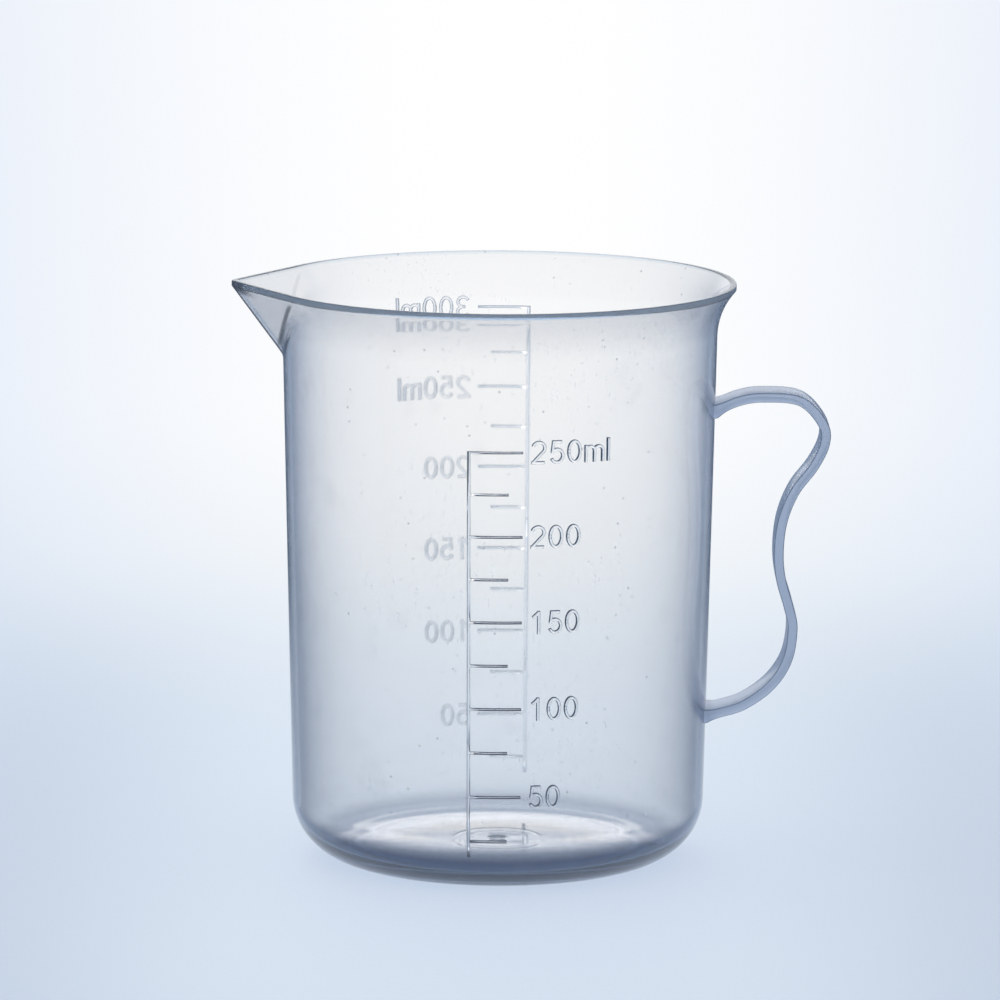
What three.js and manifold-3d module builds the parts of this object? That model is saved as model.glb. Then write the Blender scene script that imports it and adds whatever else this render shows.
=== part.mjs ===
// A clear moulded measuring cup: a tapered vessel with a flared rim and a pouring spout, a strap handle
// and a raised millilitre scale on its front and on its back.
// Millimetres. The cup stands on z = 0 with its axis on Z. The spout points along -X, the handle along
// +X, the front scale faces -Y and the back scale faces +Y.
import * as THREE from "three";
import { ConvexGeometry } from "three/addons/geometries/ConvexGeometry.js";
import { mergeVertices } from "three/addons/utils/BufferGeometryUtils.js";
import Module from "manifold-3d";

const wasm = await Module();
wasm.setup();

// Vessel
const CUP_HEIGHT = 95.7;
const FOOT_LINE_RADIUS = 33.8; // the wall's outer line carried down to the table
const WALL_DRAFT = THREE.MathUtils.degToRad(1.2);
const WALL = 1.2;
const FLOOR = 1.0;
const CORNER_RADIUS = 10.2; // outside, between the base and the wall
const GATE_RADIUS = 1.6; // round dimple in the middle of the floor
const GATE_DEPTH = 0.35;

// Rim
const RIM_OVERHANG = 2.9; // how far the rim stands out from the wall's line
const FLARE_RADIUS = 12;
const LIP_HEIGHT = 0.9; // upright land at the rim's edge

// Spout
const SPOUT_REACH = 5.5; // tip beyond the rim's circle
const SPOUT_DROP = 12.0; // rim down to the foot of the spout's ridge
const SPOUT_TIP_RADIUS = 1.0;

// Handle: its middle line from root to root, as distances out from the wall and down from the rim
const HANDLE_LINE = [
  [-1.2, 21.2], // upper root, inside the wall
  [3.8, 19.1],
  [7.8, 18.5], // crest
  [13.9, 19.1],
  [17.6, 22.8],
  [18.1, 26.0], // furthest out
  [16.4, 29.9],
  [13.4, 34.1],
  [11.6, 38.9],
  [11.1, 44.1], // waist
  [11.6, 48.7],
  [13.0, 53.3],
  [13.8, 56.9], // belly
  [13.1, 62.2],
  [10.5, 66.5],
  [6.3, 69.7],
  [2.2, 71.1],
  [-1.2, 71.8], // lower root, inside the wall
];
const STRAP_THICKNESS = 1.6;
const STRAP_WIDTH = 8.2;
const ROOT_FLARE = 0.6; // how far the strap thickens on each side where it meets the wall
const ROOT_REACH = 2.2; // how far out from the wall that thickening runs

// Scales
const TOP_MARK_DROP = 9.2; // rim down to the back scale's highest mark
const MARK_STEP = 25; // millilitres from tick to tick
const LABEL_STEP = 2 * MARK_STEP; // millilitres from number to number
const FRONT_TOP = 10 * MARK_STEP;
const BACK_TOP = 12 * MARK_STEP;
const UNIT_FROM = FRONT_TOP; // numbers from here up carry the unit
const SPINE_OFFSET = 4.8; // upright line, left of the scale's middle
const SPINE_WIDTH = 0.5;
const SPINE_TAIL = 2.7; // how far the line runs on below the lowest tick
const TICK_WIDTH = 0.4;
const LONG_TICK = 8.5;
const SHORT_TICK = 6.3;
const LABEL_GAP = 1.3; // from a long tick's end to its number
const DIGIT_HEIGHT = 3.8;
const DIGIT_WIDTH = 2.4;
const GLYPH_GAP = 0.5;
const LETTER_HEIGHT = 2.8; // the lower-case m
const LETTER_WIDTH = 3.4;
const STROKE = 0.5;
const RAISED = 0.3;

// Clearance under each piece that is seated on the wall
const SEAT_GAP = 0.1;

// Fineness of the facets
const AROUND = 60;
const CORNER_STEPS = 7;
const FLARE_STEPS = 6;
const TIP_STEPS = 4;
const HANDLE_STEPS = 64;
const STROKE_STEPS = 5;
const RING_OVERLAP = 4; // degrees that the two halves of a closed stroke share at each end
const WRAP_STEP = 2.2; // longest straight stretch of a bar laid round the wall
const FILL_STEPS = 4000; // level slices that add up to the volume under the highest mark
const WELD = 1e-4; // corners nearer than this are one corner

// How far a cutting shape runs on past the rim
const OVERCUT = 1;

// The vessel's section, in radius and height
const wallRadius = (z) => FOOT_LINE_RADIUS + Math.tan(WALL_DRAFT) * z;

function cornerOf(inset, floor) {
  const radius = CORNER_RADIUS - inset;
  const height = floor + radius;
  const centre = new THREE.Vector2(wallRadius(height) - CORNER_RADIUS / Math.cos(WALL_DRAFT), height);
  return { centre, radius };
}

const outerCorner = cornerOf(0, 0);
const innerCorner = cornerOf(WALL, FLOOR);
const lipFoot = CUP_HEIGHT - LIP_HEIGHT;
const rimRadius = wallRadius(lipFoot) + RIM_OVERHANG;
const flareTurn = Math.acos(1 - (RIM_OVERHANG * Math.cos(WALL_DRAFT)) / FLARE_RADIUS);
const flareStart = Math.PI - WALL_DRAFT;
const flareEnd = flareStart - flareTurn;
const flareCentre = new THREE.Vector2(
  rimRadius - FLARE_RADIUS * Math.cos(flareEnd),
  lipFoot - FLARE_RADIUS * Math.sin(flareEnd),
);
const innerFlareRadius = FLARE_RADIUS + WALL;
const innerFlareEnd = Math.PI - Math.asin((CUP_HEIGHT - flareCentre.y) / innerFlareRadius);

// Radius of the vessel's skin at a height, for one of its two faces
function skinRadius(z, corner, inset, flareRadius) {
  const cornerTop = corner.centre.y - corner.radius * Math.sin(WALL_DRAFT);
  const flareFoot = flareCentre.y + flareRadius * Math.sin(WALL_DRAFT);
  if (z < cornerTop) {
    return corner.centre.x + Math.sqrt(corner.radius ** 2 - (z - corner.centre.y) ** 2);
  }
  if (z > flareFoot) {
    return flareCentre.x - Math.sqrt(flareRadius ** 2 - (z - flareCentre.y) ** 2);
  }
  return wallRadius(z) - inset / Math.cos(WALL_DRAFT);
}

const outerRadius = (z) => skinRadius(z, outerCorner, 0, FLARE_RADIUS);
const innerRadius = (z) => skinRadius(z, innerCorner, WALL, innerFlareRadius);

// What the cup holds in each level slice from its floor up to the highest mark
const slice = (CUP_HEIGHT - TOP_MARK_DROP - FLOOR) / FILL_STEPS;
const filling = Array.from(
  { length: FILL_STEPS },
  (_, i) => Math.PI * innerRadius(FLOOR + (i + 0.5) * slice) ** 2 * slice,
);
const fullVolume = filling.reduce((held, volume) => held + volume, 0);

// Height of the surface when the cup holds a share of its volume at the highest mark
function fillHeight(share) {
  let held = 0;
  let count = 0;
  while (held < share * fullVolume) {
    held += filling[count];
    count += 1;
  }
  return FLOOR + count * slice;
}

// Solids and geometries
function solidOf(geometry) {
  const bare = geometry.clone();
  bare.deleteAttribute("normal");
  bare.deleteAttribute("uv");
  const merged = mergeVertices(bare, WELD);
  const corners = [];
  for (let i = 0; i < merged.index.count; i += 3) {
    const [a, b, c] = [merged.index.getX(i), merged.index.getX(i + 1), merged.index.getX(i + 2)];
    if (a !== b && b !== c && c !== a) corners.push(a, b, c);
  }
  return new wasm.Manifold(
    new wasm.Mesh({
      numProp: 3,
      vertProperties: new Float32Array(merged.attributes.position.array),
      triVerts: new Uint32Array(corners),
    }),
  );
}

function geometryOf(solid) {
  const { vertProperties, triVerts } = solid.getMesh();
  const geometry = new THREE.BufferGeometry();
  geometry.setAttribute("position", new THREE.BufferAttribute(vertProperties, 3));
  geometry.setIndex(new THREE.BufferAttribute(triVerts, 1));
  geometry.computeVertexNormals();
  return geometry;
}

function arc(centre, radius, from, to, steps) {
  return Array.from({ length: steps + 1 }, (_, i) => {
    const angle = THREE.MathUtils.lerp(from, to, i / steps);
    return new THREE.Vector2(centre.x + radius * Math.cos(angle), centre.y + radius * Math.sin(angle));
  });
}

const revolved = (profile) => solidOf(new THREE.LatheGeometry(profile, AROUND).rotateX(Math.PI / 2));

// Vessel, its outside grown by a clearance where a piece is seated on it
function vesselOutside(grown = 0) {
  return revolved([
    new THREE.Vector2(0, -grown),
    ...arc(outerCorner.centre, outerCorner.radius + grown, -Math.PI / 2, -WALL_DRAFT, CORNER_STEPS),
    ...arc(flareCentre, FLARE_RADIUS - grown, flareStart, flareEnd, FLARE_STEPS),
    new THREE.Vector2(rimRadius + grown, CUP_HEIGHT),
    new THREE.Vector2(0, CUP_HEIGHT),
  ]);
}

function vesselInside() {
  return revolved([
    new THREE.Vector2(0, FLOOR - GATE_DEPTH),
    new THREE.Vector2(GATE_RADIUS, FLOOR - GATE_DEPTH),
    new THREE.Vector2(GATE_RADIUS, FLOOR),
    ...arc(innerCorner.centre, innerCorner.radius, -Math.PI / 2, -WALL_DRAFT, CORNER_STEPS),
    ...arc(flareCentre, innerFlareRadius, flareStart, innerFlareEnd, FLARE_STEPS),
    new THREE.Vector2(innerRadius(CUP_HEIGHT), CUP_HEIGHT + OVERCUT),
    new THREE.Vector2(0, CUP_HEIGHT + OVERCUT),
  ]);
}

// Spout: its two flat sides touch the rim's circle and run down to one point on the wall
const spoutTip = rimRadius + SPOUT_REACH;
const spoutHalfAngle = Math.asin(rimRadius / spoutTip);
const spoutTouch = new THREE.Vector2(
  -rimRadius * Math.sin(spoutHalfAngle),
  rimRadius * Math.cos(spoutHalfAngle),
);
const spoutFootHeight = CUP_HEIGHT - SPOUT_DROP;
const spoutFoot = new THREE.Vector3(-wallRadius(spoutFootHeight), 0, spoutFootHeight);

// The spout seen from above, from one touching point round the tip to the other
function spoutPlan() {
  const tipCentre = new THREE.Vector2(SPOUT_TIP_RADIUS / Math.sin(spoutHalfAngle) - spoutTip, 0);
  const square = Math.PI / 2 + spoutHalfAngle;
  return [
    spoutTouch,
    ...arc(tipCentre, SPOUT_TIP_RADIUS, square, 2 * Math.PI - square, TIP_STEPS),
    new THREE.Vector2(spoutTouch.x, -spoutTouch.y),
  ];
}

function spoutHull(foot, plans) {
  const axisTop = Math.max(...plans.map((point) => point.z));
  return solidOf(
    new ConvexGeometry([
      ...plans,
      foot,
      new THREE.Vector3(0, 0, foot.z),
      new THREE.Vector3(0, 0, axisTop),
    ]),
  );
}

function spoutOutside() {
  const plan = spoutPlan();
  return spoutHull(spoutFoot, [
    ...plan.map((p) => new THREE.Vector3(p.x, p.y, CUP_HEIGHT)),
    ...plan.map((p) => new THREE.Vector3(p.x, p.y, lipFoot)),
  ]);
}

// The inside is the same shape moved in by the wall and carried on past the rim
function spoutInside() {
  const side = new THREE.Triangle(
    new THREE.Vector3(-spoutTip, 0, lipFoot),
    new THREE.Vector3(spoutTouch.x, spoutTouch.y, lipFoot),
    spoutFoot,
  ).getNormal(new THREE.Vector3());
  const inward = new THREE.Vector3(WALL / Math.abs(side.x), 0, 0);
  const growth = (CUP_HEIGHT + OVERCUT - spoutFoot.z) / (lipFoot - spoutFoot.z);
  const top = spoutPlan().map((p) =>
    new THREE.Vector3(p.x, p.y, lipFoot).sub(spoutFoot).multiplyScalar(growth).add(spoutFoot).add(inward),
  );
  return spoutHull(spoutFoot.clone().add(inward), top);
}

function cupBody() {
  const outside = vesselOutside().add(spoutOutside());
  const inside = vesselInside().add(spoutInside());
  return geometryOf(outside.subtract(inside));
}

// Handle
function handle() {
  const line = new THREE.CatmullRomCurve3(
    HANDLE_LINE.map(([out, down]) => {
      const z = CUP_HEIGHT - down;
      return new THREE.Vector3(outerRadius(z) + out, z, 0);
    }),
  );
  const inner = [];
  const outer = [];
  for (let i = 0; i <= HANDLE_STEPS; i += 1) {
    const point = line.getPointAt(i / HANDLE_STEPS);
    const along = line.getTangentAt(i / HANDLE_STEPS);
    const out = point.x - outerRadius(point.y);
    const nearness = THREE.MathUtils.clamp(1 - out / ROOT_REACH, 0, 1);
    const half = STRAP_THICKNESS / 2 + ROOT_FLARE * nearness ** 2;
    inner.push(new THREE.Vector2(point.x + along.y * half, point.y - along.x * half));
    outer.push(new THREE.Vector2(point.x - along.y * half, point.y + along.x * half));
  }
  const strap = new THREE.ExtrudeGeometry(new THREE.Shape([...inner, ...outer.reverse()]), {
    depth: STRAP_WIDTH,
    bevelEnabled: false,
  });
  strap.translate(0, 0, -STRAP_WIDTH / 2).rotateX(Math.PI / 2);
  return geometryOf(solidOf(strap).subtract(vesselOutside(SEAT_GAP)));
}

// Raised marks: drawn flat, with x along the wall and y up, then laid round the wall
function laidOnWall(geometry) {
  const place = geometry.attributes.position;
  const scaleRadius = wallRadius(CUP_HEIGHT / 2);
  for (let i = 0; i < place.count; i += 1) {
    const z = place.getY(i);
    const turn = place.getX(i) / scaleRadius;
    const radius = outerRadius(z) + SEAT_GAP + place.getZ(i);
    place.setXYZ(i, radius * Math.sin(turn), -radius * Math.cos(turn), z);
  }
  geometry.computeVertexNormals();
  return geometry;
}

function raised(shape) {
  return new THREE.ExtrudeGeometry(shape, { depth: RAISED, bevelEnabled: false });
}

// A straight raised bar, cut into short lengths so that it follows the wall
function bar(left, right, foot, top) {
  const pieces = (length) => Math.ceil(length / WRAP_STEP);
  const box = new THREE.BoxGeometry(
    right - left,
    top - foot,
    RAISED,
    pieces(right - left),
    pieces(top - foot),
  );
  return solidOf(laidOnWall(box.translate((left + right) / 2, (foot + top) / 2, RAISED / 2)));
}

// A scale's upright line with a tick at each mark
function scaleRule(marks) {
  const foot = marks[0].z - SPINE_TAIL;
  const top = marks.at(-1).z + TICK_WIDTH / 2;
  const spine = bar(-SPINE_OFFSET - SPINE_WIDTH / 2, -SPINE_OFFSET + SPINE_WIDTH / 2, foot, top);
  const ticks = marks.map(({ z, labelled }) => {
    const length = labelled ? LONG_TICK : SHORT_TICK;
    return bar(-SPINE_OFFSET, length - SPINE_OFFSET, z - TICK_WIDTH / 2, z + TICK_WIDTH / 2);
  });
  return geometryOf(ticks.reduce((rule, tick) => rule.add(tick), spine));
}

// The outline of a stroke along a path, mitred at its corners
function strokeOutline(path) {
  const points = path.getPoints(STROKE_STEPS);
  const headings = points.slice(1).map((point, i) => point.clone().sub(points[i]).normalize());
  const edge = (side) =>
    points.map((point, i) => {
      const before = headings[Math.max(i - 1, 0)];
      const after = headings[Math.min(i, headings.length - 1)];
      const middle = before.clone().add(after).normalize();
      const across = new THREE.Vector2(-middle.y, middle.x);
      return point.clone().addScaledVector(across, (side * STROKE) / 2 / middle.dot(before));
    });
  return new THREE.Shape([...edge(1), ...edge(-1).reverse()]);
}

// Strokes by their middle lines: through points, along part of an oval, and all round an oval
const straight = (...points) => new THREE.Path(points.map(([x, y]) => new THREE.Vector2(x, y)));

function bow(x, y, across, up, from, to) {
  const [start, end] = [from, to].map(THREE.MathUtils.degToRad);
  return new THREE.Path().absellipse(x, y, across, up, start, end, from > to);
}

const ring = (x, y, across, up) =>
  [0, 180].map((from) => bow(x, y, across, up, from - RING_OVERLAP, from + 180 + RING_OVERLAP));

// The characters, in a box of width w and height h round the middle lines
const STROKES = {
  0: (w, h) => ring(w / 2, h / 2, w / 2, h / 2),
  1: (w, h) => [
    straight([0.12 * w, 0.74 * h], [0.6 * w, h]),
    straight([0.62 * w, -STROKE / 2], [0.62 * w, h + STROKE / 2]),
  ],
  2: (w, h) => [
    bow(w / 2, 0.72 * h, w / 2, 0.28 * h, 165, -35).lineTo(0, 0),
    straight([-STROKE / 2, 0], [w, 0]),
  ],
  3: (w, h) => [
    bow(w / 2, 0.76 * h, 0.46 * w, 0.24 * h, 160, -90),
    bow(w / 2, 0.26 * h, w / 2, 0.26 * h, 90, -160),
  ],
  4: (w, h) => [
    straight([0, 0.28 * h], [0.7 * w, h]),
    straight([0, 0.28 * h], [w, 0.28 * h]),
    straight([0.7 * w, -STROKE / 2], [0.7 * w, h + STROKE / 2]),
  ],
  5: (w, h) => [
    straight([0.92 * w, h], [0.2 * w, h], [0.1 * w, 0.5 * h]),
    bow(w / 2, 0.32 * h, w / 2, 0.32 * h, 142, -155),
  ],
  6: (w, h) => [bow(w, 0.31 * h, w, 0.69 * h, 100, 180), ...ring(w / 2, 0.31 * h, w / 2, 0.31 * h)],
  7: (w, h) => [straight([0, h], [w, h]), straight([w, h], [0.3 * w, -STROKE / 2])],
  8: (w, h) => [
    ...ring(w / 2, 0.75 * h, 0.45 * w, 0.25 * h),
    ...ring(w / 2, 0.26 * h, w / 2, 0.26 * h),
  ],
  9: (w, h) => [bow(0, 0.69 * h, w, 0.69 * h, -80, 0), ...ring(w / 2, 0.69 * h, w / 2, 0.31 * h)],
  m: (w, h) => [
    straight([0, -STROKE / 2], [0, h + STROKE / 2]),
    ...[w / 4, (3 * w) / 4].map((x) =>
      bow(x, h - w / 4, w / 4, w / 4, 180, 0).lineTo(x + w / 4, -STROKE / 2),
    ),
  ],
  l: (w, h) => [straight([0, -STROKE / 2], [0, h + STROKE / 2])],
};

const LETTER_SIZES = { m: [LETTER_WIDTH, LETTER_HEIGHT], l: [STROKE, DIGIT_HEIGHT] };
const glyphSize = (character) => LETTER_SIZES[character] ?? [DIGIT_WIDTH, DIGIT_HEIGHT];

// One character with its lower left corner at x and y
function glyph(character, x, y) {
  const [w, h] = glyphSize(character).map((size) => size - STROKE);
  const solid = STROKES[character](w, h)
    .map((path) => solidOf(raised(strokeOutline(path))))
    .reduce((whole, part) => whole.add(part));
  return laidOnWall(geometryOf(solid).translate(x + STROKE / 2, y + STROKE / 2, 0));
}

// Finishes
const plastic = (colour, opacity) =>
  new THREE.MeshStandardMaterial({ color: colour, roughness: 0.2, metalness: 0, transparent: true, opacity });

function addPiece(group, name, geometry, material) {
  const mesh = new THREE.Mesh(geometry, material);
  mesh.name = name;
  group.add(mesh);
}

// One side's scale: its line and ticks, and a number at every labelled tick
function scale(side, top) {
  const group = new THREE.Group();
  const marks = [];
  for (let volume = MARK_STEP; volume <= top; volume += MARK_STEP) {
    marks.push({ volume, z: fillHeight(volume / BACK_TOP), labelled: volume % LABEL_STEP === 0 });
  }
  addPiece(group, `${side}_scale_rule`, scaleRule(marks), plastic(0xd5dee6, 0.6));
  for (const { volume, z } of marks.filter((mark) => mark.labelled)) {
    let x = -SPINE_OFFSET + LONG_TICK + LABEL_GAP;
    const digits = [...String(Math.round(volume))];
    const letters = volume >= UNIT_FROM ? ["m", "l"] : [];
    [...digits, ...letters].forEach((character, i) => {
      const kind = i < digits.length ? `digit_${i + 1}` : `letter_${character}`;
      const name = `${side}_${volume}_${kind}`;
      addPiece(group, name, glyph(character, x, z - DIGIT_HEIGHT / 2), plastic(0xd5dee6, 0.6));
      x += glyphSize(character)[0] + GLYPH_GAP;
    });
  }
  return group;
}

const cup = new THREE.Group();
addPiece(cup, "cup_body", cupBody(), plastic(0xe4ebf1, 0.4));
addPiece(cup, "handle", handle(), plastic(0xdfe7ee, 0.6));
cup.add(scale("front", FRONT_TOP));
const backScale = scale("back", BACK_TOP);
backScale.rotation.z = Math.PI;
cup.add(backScale);

export default cup;
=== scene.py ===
# The clear measuring cup dressed for its picture: a fine vessel, a rounded strap handle and softened
# raised marks, in hazy clear plastic, on a pale floor under soft light.
import math

import bmesh
import bpy
from mathutils import Matrix, Vector
from mathutils.geometry import delaunay_2d_cdt


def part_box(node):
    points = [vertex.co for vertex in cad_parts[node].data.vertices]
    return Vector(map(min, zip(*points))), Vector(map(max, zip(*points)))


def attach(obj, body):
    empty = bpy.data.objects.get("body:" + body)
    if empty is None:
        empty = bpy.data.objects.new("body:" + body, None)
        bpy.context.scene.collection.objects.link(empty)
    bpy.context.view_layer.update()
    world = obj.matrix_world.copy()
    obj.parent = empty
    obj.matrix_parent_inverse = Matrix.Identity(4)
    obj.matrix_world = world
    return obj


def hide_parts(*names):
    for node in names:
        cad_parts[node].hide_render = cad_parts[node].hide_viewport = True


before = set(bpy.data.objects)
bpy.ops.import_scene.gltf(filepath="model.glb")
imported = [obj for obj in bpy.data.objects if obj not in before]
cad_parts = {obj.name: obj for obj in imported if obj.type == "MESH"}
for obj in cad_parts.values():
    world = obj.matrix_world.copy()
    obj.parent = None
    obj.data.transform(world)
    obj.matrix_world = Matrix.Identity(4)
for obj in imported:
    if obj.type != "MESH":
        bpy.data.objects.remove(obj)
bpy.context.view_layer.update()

MM = 0.001

# Vessel, in millimetres; its spout runs a little lower and sharper than in the solids
CUP_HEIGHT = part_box("cup_body")[1].z / MM
FOOT_LINE_RADIUS = 33.8
WALL_DRAFT = math.radians(1.2)
WALL = 1.2
CORNER_RADIUS = 10.2
RIM_OVERHANG = 2.9
FLARE_RADIUS = 12.0
LIP_HEIGHT = 0.9
LIP_EDGE = 0.22
SPOUT_REACH = 5.8
SPOUT_DROP = 12.9
SPOUT_TIP_SOFTNESS = 0.02
SPOUT_CREASE = 0.35
RIM_CREASE = 0.1
CREASE_START = 1.3

# Floor, a low dome over a hollow foot: a dimple where the plastic came in and faint rings round it
FLOOR_EDGE = 2.3
FLOOR_DOME = 0.45
INNER_CORNER_RADIUS = 7.0
GATE_RADIUS = 1.6
GATE_DEPTH = 0.22
RINGS = ((4.8, 0.4, 0.015), (7.1, 0.6, 0.03))
FOOT_INNER = 22.6
FOOT_HOLLOW = 0.8
MIDDLE_RADIUS = 0.5

# Handle: its middle line out from the wall and down from the rim
HANDLE_LINE = (
    (-0.6, 21.0), (3.8, 19.1), (7.8, 18.5), (13.9, 19.1), (17.6, 22.8), (18.1, 26.0),
    (16.4, 29.9), (13.4, 34.1), (11.6, 38.9), (11.1, 44.1), (11.6, 48.7), (13.0, 53.3),
    (13.8, 56.9), (13.1, 62.2), (10.5, 66.5), (6.3, 69.7), (2.2, 71.1), (-0.6, 71.7),
)
STRAP_THICKNESS = 1.6
STRAP_WIDTH = 8.2
STRAP_EDGE = 0.28
ROOT_FLARE = 0.35
ROOT_SPREAD = 0.5
ROOT_REACH = 2.2
ROOT_SUNK = 0.3

# Raised marks: strokes with rounded shoulders, sunk a little into the wall
MARK_SUNK = 0.15
MARK_TOP = 0.4
SHOULDER = 0.17
SHOULDER_INSETS = (0, 0.05, 0.11, SHOULDER)
SHOULDER_ANGLE = math.radians(50)
FLAT_ANGLE = math.radians(0.6)
WELD = 0.002
UPRIGHT_WIDTH = 0.75
STROKE = 0.5
DIGIT = (2.4, 3.8)
LETTERS = {"m": (3.4, 2.8), "l": (0.5, 3.8)}
HAIR = 0.004

# How finely the curved forms are cut: numbers of steps, pairs of a stretch's end and its steps, and the
# sizes of single cuts; the wall's finer rings start a lead below the spout
ROUND_STEPS = 18
LIP_STEPS = 5
HOLLOW_STEPS = 16
LOWER_WALL_STEPS = 12
UPPER_WALL_STEPS = 9
SPOUT_LEAD = 2
FLOOR_CUTS = ((8, 12), (4, 32), (2, 4), (0.2, 12))
TURN_CUTS = ((2, 10), (6, 8), (36, 30), (180, 72))
HANDLE_STEPS = 10
STRAP_EDGE_STEPS = 5
SHOULDER_STEPS = 4
STROKE_CUT = 0.6
BOW_CUT = 10


# The vessel's section, in radius and height
def wall_radius(z):
    return FOOT_LINE_RADIUS + math.tan(WALL_DRAFT) * z


def corner_of(inset, floor, radius):
    height = floor + radius
    return wall_radius(height) - (inset + radius) / math.cos(WALL_DRAFT), height, radius


OUTER_CORNER = corner_of(0, 0, CORNER_RADIUS)
INNER_CORNER = corner_of(WALL, FLOOR_EDGE, INNER_CORNER_RADIUS)
LIP_FOOT = CUP_HEIGHT - LIP_HEIGHT
RIM_RADIUS = wall_radius(LIP_FOOT) + RIM_OVERHANG
FLARE_TURN = math.acos(1 - RIM_OVERHANG * math.cos(WALL_DRAFT) / FLARE_RADIUS)
FLARE_END = math.pi - WALL_DRAFT - FLARE_TURN
FLARE_X = RIM_RADIUS - FLARE_RADIUS * math.cos(FLARE_END)
FLARE_Z = LIP_FOOT - FLARE_RADIUS * math.sin(FLARE_END)


def skin_radius(z, corner, inset, flare_radius):
    x, height, radius = corner
    if z < height - radius * math.sin(WALL_DRAFT):
        return x + math.sqrt(max(radius ** 2 - (z - height) ** 2, 0))
    if z > FLARE_Z + flare_radius * math.sin(WALL_DRAFT):
        return FLARE_X - math.sqrt(flare_radius ** 2 - (z - FLARE_Z) ** 2)
    return wall_radius(z) - inset / math.cos(WALL_DRAFT)


def outer_radius(z):
    return skin_radius(min(z, LIP_FOOT), OUTER_CORNER, 0, FLARE_RADIUS)


def inner_radius(z):
    return skin_radius(z, INNER_CORNER, WALL, FLARE_RADIUS + WALL)


# The spout's flat sides, by their distance from the axis at a height
SPOUT_TIP = RIM_RADIUS + SPOUT_REACH
SPOUT_TOUCH = math.acos(RIM_RADIUS / SPOUT_TIP)
SPOUT_FOOT = CUP_HEIGHT - SPOUT_DROP
SPOUT_SLOPE = (RIM_RADIUS - wall_radius(SPOUT_FOOT) * math.cos(SPOUT_TOUCH)) / (LIP_FOOT - SPOUT_FOOT)


def spout_side(z):
    return RIM_RADIUS + SPOUT_SLOPE * (z - LIP_FOOT)


def spout_radius(side, turn):
    turn = math.sqrt(turn ** 2 + SPOUT_TIP_SOFTNESS ** 2)
    if turn < SPOUT_TOUCH:
        return side / math.cos(SPOUT_TOUCH - turn)
    return side * math.cos(min(turn - SPOUT_TOUCH, math.pi / 2))


def soft_greater(a, b, softness):
    near = max(softness - abs(a - b), 0) / softness
    return max(a, b) + near ** 2 * softness / 4


def crease(z):
    fall = min(max((LIP_FOOT - z) / (LIP_FOOT - SPOUT_FOOT), 0), 1)
    return RIM_CREASE + (SPOUT_CREASE - RIM_CREASE) * fall


def outside(turn, z):
    side = spout_side(min(z, LIP_FOOT))
    return soft_greater(outer_radius(z), spout_radius(side, turn), crease(z))


def inside(turn, z):
    side = spout_side(z) - WALL * math.hypot(1, SPOUT_SLOPE)
    return soft_greater(inner_radius(z), spout_radius(side, turn), crease(z))


# Meshes
def steps(low, high, count):
    return [low + (high - low) * i / count for i in range(count + 1)]


def graded(start, cuts):
    """Values from a start on through stretches, each with its own end and number of steps."""
    values = [start]
    for end, count in cuts:
        values += steps(values[-1], end, count)[1:]
    return values


def finished(bm, name):
    """A mesh object from a bmesh in millimetres, facing outwards and smoothly shaded."""
    bmesh.ops.recalc_face_normals(bm, faces=bm.faces)
    bmesh.ops.scale(bm, vec=(MM, MM, MM), verts=bm.verts)
    mesh = bpy.data.meshes.new(name)
    bm.to_mesh(mesh)
    bm.free()
    mesh.shade_smooth()
    piece = bpy.data.objects.new(name, mesh)
    bpy.context.collection.objects.link(piece)
    return piece


def skinned(bm, rings):
    """Faces between rings of corners that follow each other."""
    for lower, upper in zip(rings, rings[1:]):
        for i in range(len(lower)):
            j = (i + 1) % len(lower)
            bm.faces.new((lower[i], lower[j], upper[j], upper[i]))


def vessel_turns():
    """Directions round the cup from the spout, close together at its tip."""
    half = graded(0, TURN_CUTS)
    turns = [-t for t in half[:0:-1]] + half[:-1]
    return [math.radians(t) for t in turns]


def floor_height(radius):
    """The floor's dome inside, with its dimple and faint rings."""
    height = FLOOR_EDGE + FLOOR_DOME * (1 - (radius / INNER_CORNER[0]) ** 2)
    if radius < GATE_RADIUS:
        height -= GATE_DEPTH * (1 - (radius / GATE_RADIUS) ** 4)
    for middle, width, depth in RINGS:
        away = abs(radius - middle) / width
        if away < 1:
            height -= depth * (1 - away ** 2) ** 2
    return height


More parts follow.
